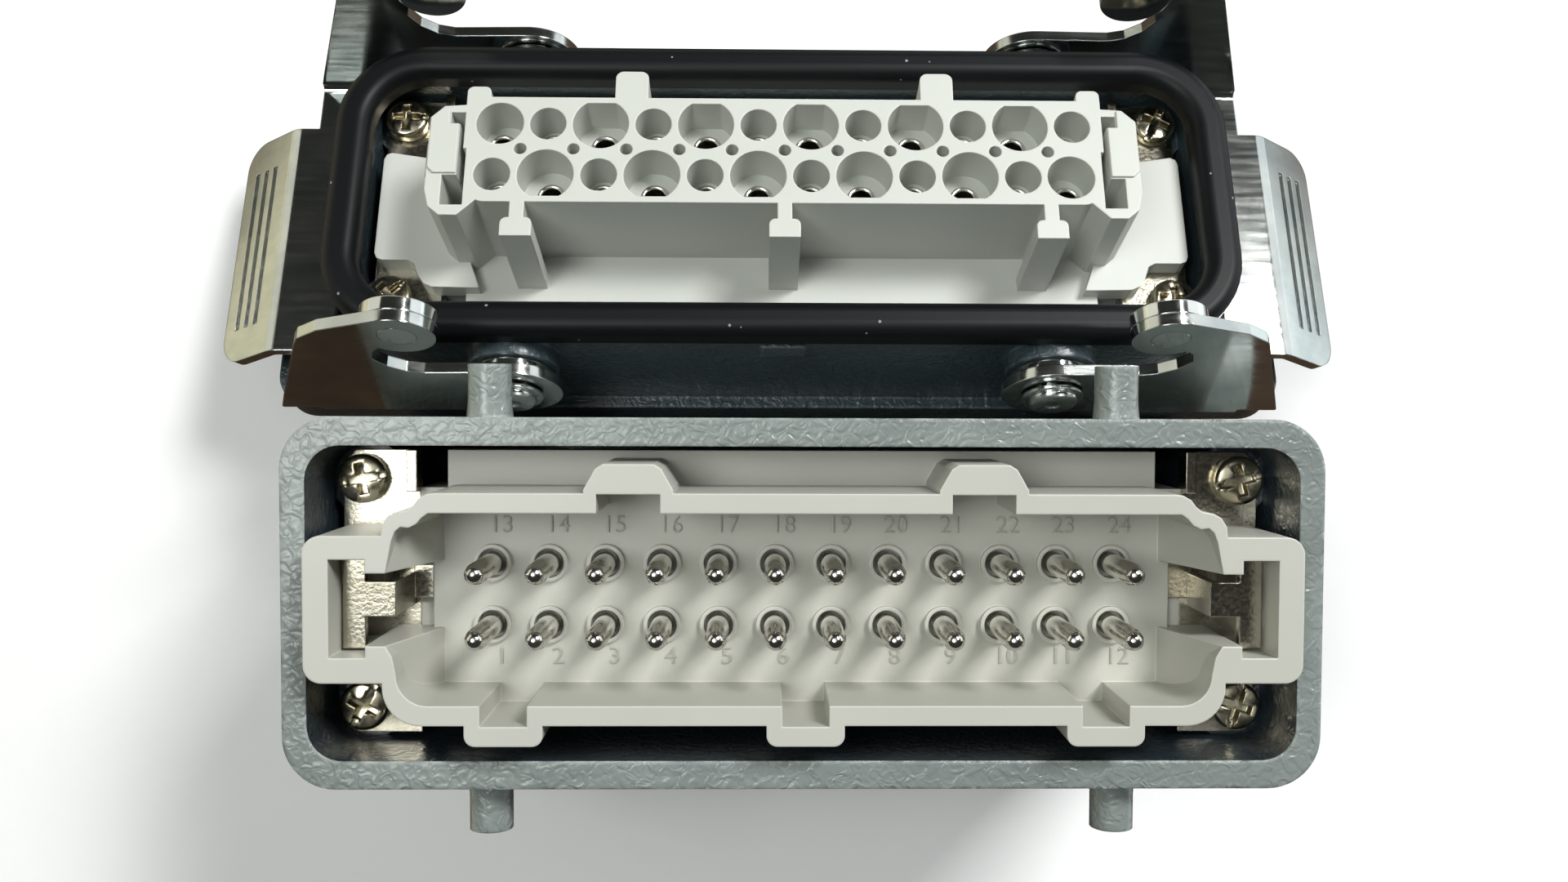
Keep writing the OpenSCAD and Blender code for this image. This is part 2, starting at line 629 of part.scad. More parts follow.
module female_insert() color([0.84, 0.84, 0.81]) in_female() difference() {
    union() {
        terminal_block();
        box(-ledge_x, ledge_x, -ledge_y, ledge_y, ledge_z - ledge_t, ledge_z);
        linear_extrude(face_z) female_face();
        for (s = [0, 1]) mirror([s, 0, 0]) {
            linear_extrude(face_z) female_tower();
            translate([0, 0, plate_t]) linear_extrude(ear_t) ear();
            translate([0, 0, plate_t]) linear_extrude(face_z + tab_t - plate_t) end_tab();
        }
    }
    translate([0, 0, face_z - chamber_depth]) linear_extrude(chamber_depth + 1) intersection() {
        for (i = [0 : columns - 1], row = [0, 1]) chamber(i, row);
        square([2 * block_x, 2 * block_y - 1.6], center = true);
    }
    for (i = [0 : columns - 2]) translate([(i + 1 - (columns - 1) / 2) * pitch - pitch / 2, 0, face_z - chamber_depth])
        cylinder(d = 1.6, h = chamber_depth + 1);
    contacts() translate([0, 0, clamp_top - EPS]) cylinder(r = socket_r + seat, h = face_z - chamber_depth - clamp_top + 1);
    for (s = [0, 1]) mirror([s, 0, 0]) box(tower_x, tower_x + 1.3, -2.8, 2.8, plate_t - EPS, face_z);
    clamp_pockets();
}

socket_r = pin_d / 2 + 0.05 + socket_wall;

module female_sockets() color([0.78, 0.78, 0.75]) in_female() contacts() difference() {
    translate([0, 0, clamp_top]) cylinder(r = socket_r, h = face_z - chamber_depth + 0.3 - clamp_top);
    translate([0, 0, 1]) cylinder(r = socket_r - socket_wall, h = face_z);
}

module female_clamps() color([0.72, 0.72, 0.68]) in_female() clamps();

module female_clamp_screws() color([0.7, 0.7, 0.68]) in_female() clamp_screws();

module female_left_plate() color([0.74, 0.71, 0.64]) in_female() mirror([1, 0, 0]) end_plate();

module female_right_plate() color([0.74, 0.71, 0.64]) in_female() end_plate();

module female_blade() {
    box(tower_x + slip, tower_x + slip + 0.8, -2.4, 2.4, plate_t, face_z - 3);
    box(tower_x + slip, tower_x + slip + 1.1, -2.4, 2.4, plate_t, plate_t + blade_t);
}

module female_left_earth_blade() color([0.68, 0.67, 0.64]) in_female() mirror([1, 0, 0]) female_blade();

module female_right_earth_blade() color([0.68, 0.67, 0.64]) in_female() female_blade();

module female_mounting_screws() color([0.72, 0.68, 0.58]) in_female() mounting_screws([75, 35, 5, 62]);

module female_earth_screws() color([0.72, 0.68, 0.58]) in_female() earth_screws();

// ---------- levers, in the housing's frame, drawn open ----------

module arm_shape() {
    difference() {
        union() {
            translate([pivot_x, pivot_z]) circle(r = arm_end_r);
            translate([disc_x, disc_z]) circle(d = disc_d);
            polygon([
                [pivot_x, pivot_z - arm_end_r], [pivot_x, pivot_z + arm_end_r], [disc_x - 0.8, pivot_z + 6.4],
                [disc_x + 1.4, pivot_z + 7], [disc_x + 3.4, pivot_z + 8.6], [disc_x + 4.7, disc_z - 6.9],
                [disc_x + 4, disc_z - 4.6], [disc_x, disc_z], [disc_x + 1.45, disc_z + 4.37],
                [disc_x + 9.2, disc_z + 1.6], [disc_x + 12, disc_z - 0.6], [disc_x + 12.9, disc_z - 2.4],
                [arm_edge_x, tray_z + bend_r], [tray_x, tray_z + bend_r], [tray_x, pivot_z - arm_end_r]]);
        }
        translate([pivot_x, pivot_z]) circle(r = stud_d / 2 + pivot_play);
        translate([disc_x, disc_z]) circle(r = disc_d / 4 + seat);
    }
}

// the grip's side view: flat from the tray, round the bend, then down the slope
module grip_profile() {
    turn = [for (i = [0 : 6]) i / 6 * grip_slope];
    low = grip_bend_r;
    high = grip_bend_r + lever_t;
    tip = grip_l * [cos(grip_slope), -sin(grip_slope)];
    translate([grip_x, tray_z - grip_bend_r]) polygon(concat(
        [[arm_edge_x - 1 - grip_x, low], [arm_edge_x - 1 - grip_x, high]],
        [for (a = turn) high * [sin(a), cos(a)]],
        [tip + high * [sin(grip_slope), cos(grip_slope)], tip + low * [sin(grip_slope), cos(grip_slope)]],
        [for (i = [6 : -1 : 0]) low * [sin(turn[i]), cos(turn[i])]]));
}

module lever() {
    for (s = [0, 1]) mirror([0, s, 0]) {
        translate([0, arm_out_y, 0]) rotate([90, 0, 0]) linear_extrude(lever_t) arm_shape();
        translate([tray_x, arm_out_y - bend_r, tray_z + bend_r]) rotate([90, 0, 90]) linear_extrude(arm_edge_x - tray_x)
            intersection() {
                difference() {
                    circle(r = bend_r);
                    circle(r = bend_r - lever_t);
                }
                translate([0, -bend_r]) square(bend_r);
            }
    }
    box(tray_x, arm_edge_x, bend_r - arm_out_y, arm_out_y - bend_r, tray_z, tray_z + lever_t);
    difference() {
        rotate([90, 0, 0]) linear_extrude(grip_w, center = true) grip_profile();
        translate([grip_x, 0, tray_z - grip_bend_r]) rotate([0, grip_slope, 0]) translate([0, 0, grip_bend_r]) {
            for (s = [0, 1]) mirror([0, s, 0]) translate([grip_l - grip_r, grip_w / 2 - grip_r, -1]) difference() {
                cube([2 * grip_r, 2 * grip_r, lever_t + 2]);
                translate([0, 0, -1]) cylinder(r = grip_r, h = lever_t + 4);
            }
            for (u = [3, 5, 7])
                box(u - 0.4, u + 0.4, 5 - grip_w / 2, grip_w / 2 - 5, lever_t - 0.35, lever_t + 1);
        }
    }
}

module discs() {
    for (s = [0, 1]) mirror([0, s, 0]) translate([disc_x, arm_out_y, disc_z]) rotate([90, 0, 0]) {
        cylinder(r = disc_d / 4, h = disc_t);
        translate([0, 0, lever_t]) cylinder(d = disc_d, h = disc_t - lever_t);
    }
}

module left_lever() color([0.76, 0.77, 0.78]) in_housing() mirror([1, 0, 0]) lever();

module right_lever() color([0.76, 0.77, 0.78]) in_housing() lever();

module left_discs() color([0.82, 0.83, 0.84]) in_housing() mirror([1, 0, 0]) discs();

module right_discs() color([0.82, 0.83, 0.84]) in_housing() discs();

module pivot_studs() color([0.78, 0.78, 0.78]) in_housing() {
    flank(stud_y, head_y + EPS) circle(d = stud_d);
    for (x = [-1, 1], s = [0, 1]) mirror([0, s, 0]) translate([x * pivot_x, head_y, pivot_z]) rotate([-90, 0, 0]) {
        cylinder(r = head_r, h = head_t - 0.4);
        translate([0, 0, head_t - 0.4]) cylinder(r1 = head_r, r2 = head_r - 0.6, h = 0.4);
    }
}

module inner_washers() color([0.8, 0.8, 0.8]) in_housing() flank(boss_y, boss_y + inner_washer_t) difference() {
    circle(r = inner_washer_r);
    circle(r = stud_d / 2 + seat);
}

module outer_washers() color([0.8, 0.8, 0.8]) in_housing() flank(head_y - outer_washer_t, head_y) difference() {
    circle(r = outer_washer_r);
    circle(r = stud_d / 2 + seat);
}

hood_shell();
male_insert();
male_pins();
male_clamps();
male_clamp_screws();
male_left_plate();
male_right_plate();
male_left_earth_blade();
male_right_earth_blade();
male_mounting_screws();
male_earth_screws();
housing_shell();
rim_gasket();
panel_seal();
female_insert();
female_sockets();
female_clamps();
female_clamp_screws();
female_left_plate();
female_right_plate();
female_left_earth_blade();
female_right_earth_blade();
female_mounting_screws();
female_earth_screws();
left_lever();
right_lever();
left_discs();
right_discs();
pivot_studs();
inner_washers();
outer_washers();
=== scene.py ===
# %% [markdown]
# # A heavy duty rectangular connector
# Two halves of one connector lie unmated. The hood stands on its roof with 24 pins in a plastic shroud. The
# bulkhead housing leans on it, with 24 sockets, a black rim gasket and two sheet-metal levers. The packed
# model gives every main shape, and this script adds finishes and small parts. Numbers are millimetres
# unless a name says otherwise.

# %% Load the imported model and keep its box
import json
import math

import bmesh
import bpy
from mathutils import Matrix, Vector


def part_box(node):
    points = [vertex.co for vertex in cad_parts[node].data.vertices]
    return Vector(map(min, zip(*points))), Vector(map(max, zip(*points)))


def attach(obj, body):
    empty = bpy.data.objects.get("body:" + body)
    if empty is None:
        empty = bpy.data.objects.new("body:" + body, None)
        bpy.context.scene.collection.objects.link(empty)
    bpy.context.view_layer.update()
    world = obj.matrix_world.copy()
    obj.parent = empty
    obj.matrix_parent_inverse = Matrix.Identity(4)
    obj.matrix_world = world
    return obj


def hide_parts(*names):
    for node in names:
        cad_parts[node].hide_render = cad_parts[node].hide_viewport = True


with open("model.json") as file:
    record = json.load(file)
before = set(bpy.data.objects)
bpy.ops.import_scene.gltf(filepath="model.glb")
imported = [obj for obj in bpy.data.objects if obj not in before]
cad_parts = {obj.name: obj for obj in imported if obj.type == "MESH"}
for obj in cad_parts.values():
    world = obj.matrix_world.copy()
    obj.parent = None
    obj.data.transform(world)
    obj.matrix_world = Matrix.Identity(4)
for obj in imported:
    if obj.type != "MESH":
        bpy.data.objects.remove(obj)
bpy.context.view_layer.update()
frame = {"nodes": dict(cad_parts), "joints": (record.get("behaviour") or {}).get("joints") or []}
NODES = frame["nodes"]
MM = 0.001

# %% [markdown]
# ## Two coordinate systems
# The hood is upright, so its parts use the row frame. The housing leans back, so its parts are made upright
# and then turned and moved together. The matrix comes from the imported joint, which lies on the housing's
# lever pivots, so the lean is never typed twice.

# %% The leaning housing's matrix
left_hinge = next(j for j in frame["joints"] if j["name"] == "left_lever_hinge")
right_hinge = next(j for j in frame["joints"] if j["name"] == "right_lever_hinge")
PIVOT_X = 35.5
PIVOT_Z = 18.6
across = Vector(left_hinge["axis"]).normalized()
upward = Vector((1, 0, 0)).cross(across)
between_pivots = (Vector(left_hinge["pos_m"]) + Vector(right_hinge["pos_m"])) / 2
panel_centre = between_pivots - upward * PIVOT_Z * MM
HOUSING = Matrix.Translation(panel_centre) @ Matrix((Vector((1, 0, 0)), across, upward)).transposed().to_4x4()
FEMALE_Z = 19
FEMALE = HOUSING @ Matrix.Translation((0, 0, FEMALE_Z * MM))
SHROUD_ABOVE_RIM = 4.1
RIM_ABOVE_PLATES = 11.1
HOOD_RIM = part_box("male_insert")[1].z / MM - SHROUD_ABOVE_RIM
MALE = Matrix.Translation((0, 0, (HOOD_RIM - RIM_ABOVE_PLATES) * MM))
print("the housing leans", round(math.degrees(math.acos(upward.z)), 1), "degrees")

# %% [markdown]
# ## Camera
# The camera hangs a little over 200 mm above the floor and looks almost straight down, with the rear of the
# object at the top of the view. A 32 mm lens at this distance gives the strong perspective of a close shot.

# %% Camera
camera = bpy.data.objects.new("camera", bpy.data.cameras.new("camera"))
bpy.context.scene.collection.objects.link(camera)
camera.data.sensor_width = 36
camera.data.lens = 31.875
camera.data.clip_start = 0.005
camera.location = (-0.0052, 0.0246, 0.2180)
camera.rotation_euler = (math.radians(-2.28), math.radians(-1.01), math.radians(0.21))
bpy.context.scene.camera = camera

# %% [markdown]
# ## Helpers for nodes and colours
# One helper adds any node, sets its properties and fills or links its sockets. Colours are written as sRGB
# hex, as a paint program shows them, and turned to the linear numbers that Blender computes with.

# %% Node helper and colour helper
def add(tree, kind, inputs=None, **settings):
    node = tree.nodes.new(kind)
    for key, value in settings.items():
        setattr(node, key, value)
    for key, value in (inputs or {}).items():
        if isinstance(value, bpy.types.NodeSocket):
            tree.links.new(value, node.inputs[key])
        else:
            node.inputs[key].default_value = value
    return node


def colour(hex_code):
    parts = [int(hex_code[i : i + 2], 16) / 255 for i in (1, 3, 5)]
    return tuple(p / 12.92 if p <= 0.04045 else ((p + 0.055) / 1.055) ** 2.4 for p in parts) + (1,)


def new_material(name):
    material = bpy.data.materials.new(name)
    material.use_nodes = True
    tree = material.node_tree
    tree.nodes.clear()
    surface = add(tree, "ShaderNodeBsdfPrincipled")
    add(tree, "ShaderNodeOutputMaterial", {"Surface": surface.outputs[0]})
    place = add(tree, "ShaderNodeTexCoord").outputs["Object"]
    return material, tree, surface, place


def per_mm(size):
    """The scale of a texture node whose features are about this many millimetres wide."""
    return 1 / (size * MM)


def rounded_edges(tree, radius):
    """A normal that is rounded over every sharp edge, and a 0 to 1 mask of those edges."""
    round_normal = add(tree, "ShaderNodeBevel", {"Radius": radius * MM}, samples=6).outputs[0]
    true_normal = add(tree, "ShaderNodeNewGeometry").outputs["True Normal"]
    dot = add(tree, "ShaderNodeVectorMath", {0: round_normal, 1: true_normal}, operation="DOT_PRODUCT")
    edge = add(tree, "ShaderNodeMapRange", {"Value": dot.outputs["Value"], "From Min": 0.995, "From Max": 0.80,
                                            "To Min": 0.0, "To Max": 1.0})
    return round_normal, edge.outputs[0]


# %% [markdown]
# ## Moulded plastic of the inserts
# Both inserts are glass-filled polycarbonate in pebble grey. It is moulded against fine spark-eroded steel, so
# it is satin and nearly even in colour. Broad, faint clouds and a fine grain do that. The paler colour on its
# rounded edges is a painted highlight.

# %% Pebble grey plastic
def moulded_plastic(name, base, darker):
    material, tree, surface, place = new_material(name)
    round_normal, edge = rounded_edges(tree, 0.28)
    clouds = add(tree, "ShaderNodeTexNoise", {"Vector": place, "Scale": per_mm(14), "Detail": 3})
    body = add(tree, "ShaderNodeMix", {0: clouds.outputs[0], 6: colour(darker), 7: colour(base)},
               data_type="RGBA")
    # painted highlight: rounded edges are mixed toward a paler grey
    lit = add(tree, "ShaderNodeMix", {0: edge, 6: body.outputs[2], 7: colour("#dddcd4")}, data_type="RGBA")
    grain = add(tree, "ShaderNodeTexNoise", {"Vector": place, "Scale": per_mm(0.35), "Detail": 2})
    bump = add(tree, "ShaderNodeBump", {"Height": grain.outputs[0], "Strength": 0.12, "Distance": 0.05 * MM,
                                        "Normal": round_normal})
    tree.links.new(lit.outputs[2], surface.inputs["Base Color"])
    tree.links.new(bump.outputs[0], surface.inputs["Normal"])
    surface.inputs["Roughness"].default_value = 0.42
    surface.inputs["IOR"].default_value = 1.58
    return material


PEBBLE = moulded_plastic("moulded pebble-grey polycarbonate", "#c1c1b8", "#b7b7ad")
# the figures are the same plastic; their darker tone is painted shade
FIGURE_PEBBLE_PAINTED_SHADE = moulded_plastic("moulded pebble-grey polycarbonate, figures in painted shade", "#9e9d92", "#959489")
PALE_PEBBLE = moulded_plastic("moulded pale-grey polycarbonate", "#c9ccc6", "#c0c3bc")

# %% [markdown]
# ## Powder coat on the castings
# Hood and housing are aluminium die castings under a grey powder coat. Powder coat flows out into a soft orange
# peel of bumps 1 to 2 mm wide, thins a little over edges, and picks up a few dents. The paler patches on the
# edges are partly that wear and partly a painted highlight. The housing is the same grey coat, but here it is
# coloured a dark slate, which is painted shade. The walls inside the hood are a darker blue-grey, also painted
# shade, so the colour follows the height and depth inside the part. A coat layer gives the cured gloss.

# %% Powder coat
def powder_coat(name, base, darker, edge_colour, roughness):
    material, tree, surface, place = new_material(name)
    round_normal, edge = rounded_edges(tree, 0.7)
    patches = add(tree, "ShaderNodeTexNoise", {"Vector": place, "Scale": per_mm(11), "Detail": 4})
    spread = add(tree, "ShaderNodeMapRange", {"Value": patches.outputs[0], "From Min": 0.3, "From Max": 0.7})
    body = add(tree, "ShaderNodeMix", {0: spread.outputs[0], 6: colour(darker), 7: colour(base)},
               data_type="RGBA")
    nicks = add(tree, "ShaderNodeTexNoise", {"Vector": place, "Scale": per_mm(2.2), "Detail": 5})
    worn = add(tree, "ShaderNodeMapRange", {"Value": nicks.outputs[0], "From Min": 0.40, "From Max": 0.62})
    # paler edge patches: partly wear of the coat, partly a painted highlight
    rubbed_and_highlit = add(tree, "ShaderNodeMath", {0: worn.outputs[0], 1: edge}, operation="MULTIPLY")
    lit = add(tree, "ShaderNodeMix", {0: rubbed_and_highlit.outputs[0], 6: body.outputs[2], 7: colour(edge_colour)},
              data_type="RGBA")
    peel = add(tree, "ShaderNodeTexNoise", {"Vector": place, "Scale": per_mm(1.5), "Detail": 1,
                                            "Distortion": 1.2})
    bump = add(tree, "ShaderNodeBump", {"Height": peel.outputs[0], "Strength": 0.8, "Distance": 0.35 * MM,
                                        "Normal": round_normal})
    tree.links.new(lit.outputs[2], surface.inputs["Base Color"])
    tree.links.new(bump.outputs[0], surface.inputs["Normal"])
    surface.inputs["Roughness"].default_value = roughness
    surface.inputs["IOR"].default_value = 1.5
    surface.inputs["Coat Weight"].default_value = 0.6
    surface.inputs["Coat Roughness"].default_value = roughness
    return material, tree, surface, place, lit


HOOD_COAT, hood_tree, hood_surface, hood_place, hood_mix = powder_coat(
    "powder-coated die-cast aluminium, light grey", "#868e8b", "#767e7b", "#b4bcb9", 0.30)
# the housing is the hood's grey coat; its dark slate colour is painted shade
HOUSING_COAT, *_ = powder_coat(
    "powder-coated die-cast aluminium, grey in painted shade", "#38454a", "#2e3a3f", "#63737a", 0.30)

# inside the hood, from just above the roof to just below the rim, the coat is darker: painted shade
INSIDE_X = 56.1
INSIDE_Y = 17.95
INSIDE_FROM = 3
INSIDE_TO = HOOD_RIM - 0.1
split = add(hood_tree, "ShaderNodeSeparateXYZ", {0: hood_place})
inside = None
for axis, half in (("X", INSIDE_X), ("Y", INSIDE_Y)):
    size = add(hood_tree, "ShaderNodeMath", {0: split.outputs[axis]}, operation="ABSOLUTE")
    test = add(hood_tree, "ShaderNodeMath", {0: size.outputs[0], 1: half * MM}, operation="LESS_THAN")
    inside = test.outputs[0] if inside is None else add(
        hood_tree, "ShaderNodeMath", {0: inside, 1: test.outputs[0]}, operation="MULTIPLY").outputs[0]
for height, test in ((INSIDE_FROM, "GREATER_THAN"), (INSIDE_TO, "LESS_THAN")):
    level = add(hood_tree, "ShaderNodeMath", {0: split.outputs["Z"], 1: height * MM}, operation=test)
    inside = add(hood_tree, "ShaderNodeMath", {0: inside, 1: level.outputs[0]},
                 operation="MULTIPLY").outputs[0]
# painted shade: the walls inside the hood take a dark blue-grey
painted_shade_inside = add(hood_tree, "ShaderNodeMix", {0: inside, 6: hood_mix.outputs[2], 7: colour("#27323a")},
                data_type="RGBA")
hood_tree.links.new(painted_shade_inside.outputs[2], hood_surface.inputs["Base Color"])

# %% [markdown]
# ## Rubber
# The rim gasket is black nitrile rubber, pressed in a polished mould: nearly black, with a broad soft
# shine, and a few pale specks of dust that stick to it.

# %% Nitrile rubber
RUBBER, tree, surface, place = new_material("moulded nitrile rubber")
specks = add(tree, "ShaderNodeTexVoronoi", {"Vector": place, "Scale": per_mm(2.6), "Randomness": 1.0})
dust = add(tree, "ShaderNodeMath", {0: specks.outputs["Distance"], 1: 0.075}, operation="LESS_THAN")
some = add(tree, "ShaderNodeTexNoise", {"Vector": place, "Scale": per_mm(9)})
picked = add(tree, "ShaderNodeMath", {0: some.outputs[0], 1: 0.56}, operation="GREATER_THAN")
shown = add(tree, "ShaderNodeMath", {0: dust.outputs[0], 1: picked.outputs[0]}, operation="MULTIPLY")
skin = add(tree, "ShaderNodeMix", {0: shown.outputs[0], 6: colour("#04070a"), 7: colour("#868d94")},
           data_type="RGBA")
fine = add(tree, "ShaderNodeTexNoise", {"Vector": place, "Scale": per_mm(0.8), "Detail": 3})
bump = add(tree, "ShaderNodeBump", {"Height": fine.outputs[0], "Strength": 0.15, "Distance": 0.05 * MM})
tree.links.new(skin.outputs[2], surface.inputs["Base Color"])
tree.links.new(bump.outputs[0], surface.inputs["Normal"])
surface.inputs["Roughness"].default_value = 0.46
surface.inputs["IOR"].default_value = 1.52
surface.inputs["Specular IOR Level"].default_value = 0.22

# %% [markdown]
# ## Plated metals
# Four platings show: bright zinc on the levers, nickel on the end plates and blades, a yellowed zinc on the
# screws, and silver on the contacts. One function holds what they share, a grain that breaks up the
# reflection. Its numbers say how each was made: a rolled sheet has streaks in one direction, a
# barrel-plated piece has an even sparkle.

# %% Plated metal
def plated_metal(name, base, darker, grain_mm, stretch, roughness, strength):
    material, tree, surface, place = new_material(name)
    round_normal, edge = rounded_edges(tree, 0.22)
    streaked = add(tree, "ShaderNodeMapping", {"Vector": place, "Scale": stretch})
    grain = add(tree, "ShaderNodeTexNoise", {"Vector": streaked.outputs[0], "Scale": per_mm(grain_mm),
                                             "Detail": 4})
    cloud = add(tree, "ShaderNodeTexNoise", {"Vector": place, "Scale": per_mm(7), "Detail": 3})
    tone = add(tree, "ShaderNodeMapRange", {"Value": cloud.outputs[0], "From Min": 0.35, "From Max": 0.65})
    body = add(tree, "ShaderNodeMix", {0: tone.outputs[0], 6: colour(darker), 7: colour(base)},
               data_type="RGBA")
    gloss = add(tree, "ShaderNodeMapRange", {"Value": grain.outputs[0], "From Min": 0.3, "From Max": 0.7,
                                             "To Min": roughness * 0.75, "To Max": roughness * 1.35})
    bump = add(tree, "ShaderNodeBump", {"Height": grain.outputs[0], "Strength": strength, "Distance": 0.05 * MM,
                                        "Normal": round_normal})
    tree.links.new(body.outputs[2], surface.inputs["Base Color"])
    tree.links.new(gloss.outputs[0], surface.inputs["Roughness"])
    tree.links.new(bump.outputs[0], surface.inputs["Normal"])
    surface.inputs["Metallic"].default_value = 1.0
    return material


ZINC_SHEET = plated_metal("bright zinc on rolled steel", "#cdd0cb", "#b4bab8", 0.9, (0.12, 1, 1), 0.13, 0.10)
ZINC_BRIGHT = plated_metal("bright zinc on turned steel", "#dcdeda", "#c6cbc9", 0.8, (1, 1, 1), 0.09, 0.06)
NICKEL = plated_metal("nickel on stamped steel", "#bdb8a8", "#a09a8a", 0.45, (1, 1, 1), 0.20, 0.45)
SCREW_ZINC = plated_metal("yellowed zinc on steel screws", "#cbc4ae", "#aca48c", 0.6, (1, 1, 1), 0.20, 0.20)
SILVER = plated_metal("silver on turned copper alloy", "#e8e6e1", "#d5d2cb", 1.0, (1, 1, 0.3), 0.14, 0.05)

# %% [markdown]
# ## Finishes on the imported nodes
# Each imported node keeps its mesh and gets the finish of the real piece. The dictionary is the whole list,
# so a node that was forgotten stops the script.

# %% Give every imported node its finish
FINISH = {
    "hood_shell": HOOD_COAT, "housing_shell": HOUSING_COAT,
    "male_insert": PEBBLE, "female_insert": PALE_PEBBLE,
    "rim_gasket": RUBBER, "panel_seal": RUBBER,
    "male_pins": SILVER, "female_sockets": SILVER,
    "male_clamps": NICKEL, "female_clamps": NICKEL,
    "male_clamp_screws": SCREW_ZINC, "female_clamp_screws": SCREW_ZINC,
    "male_left_plate": NICKEL, "male_right_plate": NICKEL,
    "female_left_plate": NICKEL, "female_right_plate": NICKEL,
    "male_left_earth_blade": NICKEL, "male_right_earth_blade": NICKEL,
    "female_left_earth_blade": NICKEL, "female_right_earth_blade": NICKEL,
    "male_mounting_screws": SCREW_ZINC, "female_mounting_screws": SCREW_ZINC,
    "male_earth_screws": SCREW_ZINC, "female_earth_screws": SCREW_ZINC,
    "left_lever": ZINC_SHEET, "right_lever": ZINC_SHEET,
    "left_discs": ZINC_BRIGHT, "right_discs": ZINC_BRIGHT,
    "pivot_studs": ZINC_BRIGHT, "inner_washers": ZINC_BRIGHT, "outer_washers": ZINC_BRIGHT,
}
for name, node in NODES.items():
    node.data.materials.clear()
    node.data.materials.append(FINISH[name])
print("finishes:", len({m.name for m in FINISH.values()}))

# %% [markdown]
# ## Turned pieces
# Pins, sockets, rivets and screw heads are all turned on a lathe. So are their meshes here: a side profile,
# written as (radius, height) pairs, is spun round the local Z axis. Two ends on the axis close the solid.

# %% A lathe for meshes
def lathe(profile, steps=36):
    shape = bmesh.new()
    verts = [shape.verts.new((radius * MM, 0, height * MM)) for radius, height in profile]
    edges = [shape.edges.new(pair) for pair in zip(verts, verts[1:])]
    bmesh.ops.spin(shape, geom=verts + edges, axis=(0, 0, 1), cent=(0, 0, 0), steps=steps, angle=2 * math.pi)
    bmesh.ops.remove_doubles(shape, verts=shape.verts, dist=1e-7)
    bmesh.ops.recalc_face_normals(shape, faces=shape.faces)
    mesh = bpy.data.meshes.new("turned")
    shape.to_mesh(mesh)
    shape.free()
    return mesh


def arc(radius, height, size, start, end, count=5):
    """Points on a quarter round of the profile, angles in degrees from the radius axis."""
    angles = [math.radians(start + (end - start) * i / (count - 1)) for i in range(count)]
    return [(radius + size * math.cos(a), height + size * math.sin(a)) for a in angles]


def place_object(name, mesh, smooth=40):
    """A new object at the origin; faces that meet below the given angle are shaded smooth."""
    thing = bpy.data.objects.new(name, mesh)
    bpy.context.scene.collection.objects.link(thing)
    for face in mesh.polygons:
        face.use_smooth = True
    mesh.set_sharp_from_angle(angle=math.radians(smooth))
    return thing


# %% [markdown]
# ## Rows of copies with Geometry Nodes
# The contacts and the screws stand on grids, so one Geometry Nodes tree lays out any of them. It copies the
# object's own mesh to a centred grid of columns and rows, and turns each copy by a random angle, as screws
# stop anywhere. The tree ends in real geometry with a material, so the export keeps it.

# %% The tree
def rows_tree():
    tree = bpy.data.node_groups.new("rows of copies", "GeometryNodeTree")
    for label, kind in (("Piece", "Geometry"), ("Columns", "Int"), ("Rows", "Int"), ("Column pitch", "Float"),
                        ("Row pitch", "Float"), ("Largest turn", "Float"), ("Seed", "Int"),
                        ("Finish", "Material")):
        tree.interface.new_socket(label, in_out="INPUT", socket_type=f"NodeSocket{kind}")
    tree.interface.new_socket("Copies", in_out="OUTPUT", socket_type="NodeSocketGeometry")
    given = add(tree, "NodeGroupInput").outputs

    def span(count, pitch):
        gaps = add(tree, "ShaderNodeMath", {0: given[count], 1: 1.0}, operation="SUBTRACT")
        whole = add(tree, "ShaderNodeMath", {0: gaps.outputs[0], 1: given[pitch]}, operation="MULTIPLY")
        return whole.outputs[0]

    grid = add(tree, "GeometryNodeMeshGrid", {
        "Size X": span("Columns", "Column pitch"), "Size Y": span("Rows", "Row pitch"),
        "Vertices X": given["Columns"], "Vertices Y": given["Rows"]})
    turn = add(tree, "FunctionNodeRandomValue", {2: 0.0, 3: given["Largest turn"], "Seed": given["Seed"]},
               data_type="FLOAT")
    spin = add(tree, "ShaderNodeCombineXYZ", {"Z": turn.outputs[1]})
    copies = add(tree, "GeometryNodeInstanceOnPoints", {
        "Points": grid.outputs[0], "Instance": given["Piece"], "Rotation": spin.outputs[0]})
    real = add(tree, "GeometryNodeRealizeInstances", {0: copies.outputs[0]})
    coated = add(tree, "GeometryNodeSetMaterial", {"Geometry": real.outputs[0], "Material": given["Finish"]})
    add(tree, "NodeGroupOutput", {0: coated.outputs[0]})
    return tree


ROWS = rows_tree()


def in_rows(name, mesh, where, body, finish, **sizes):
    """Lays copies of a mesh out on a grid, makes them one plain mesh and moves it to its place."""
    seedling = place_object(name + ".one", mesh)
    modifier = seedling.modifiers.new("rows", "NODES")
    modifier.node_group = ROWS
    sockets = {s.name: s.identifier for s in ROWS.interface.items_tree if s.in_out == "INPUT"}
    settings = {"Columns": 2, "Rows": 2, "Column pitch": 0.01, "Row pitch": 0.01, "Largest turn": 0.0,
                "Seed": 1, "Finish": finish}
    for key, value in {**settings, **sizes}.items():
        modifier[sockets[key]] = value
    ready = seedling.evaluated_get(bpy.context.evaluated_depsgraph_get())
    mesh = bpy.data.meshes.new_from_object(ready)
    bpy.data.objects.remove(seedling)
    mesh.transform(where)
    thing = place_object(name, mesh)
    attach(thing, body)
    print(name, "has", len(mesh.polygons), "faces")
    return thing


# %% [markdown]
# ## Contact pins
# A pin is turned from a copper alloy and silver plated. It has a parallel shank, a small step where the tip
# starts and a round tip that finds its socket.

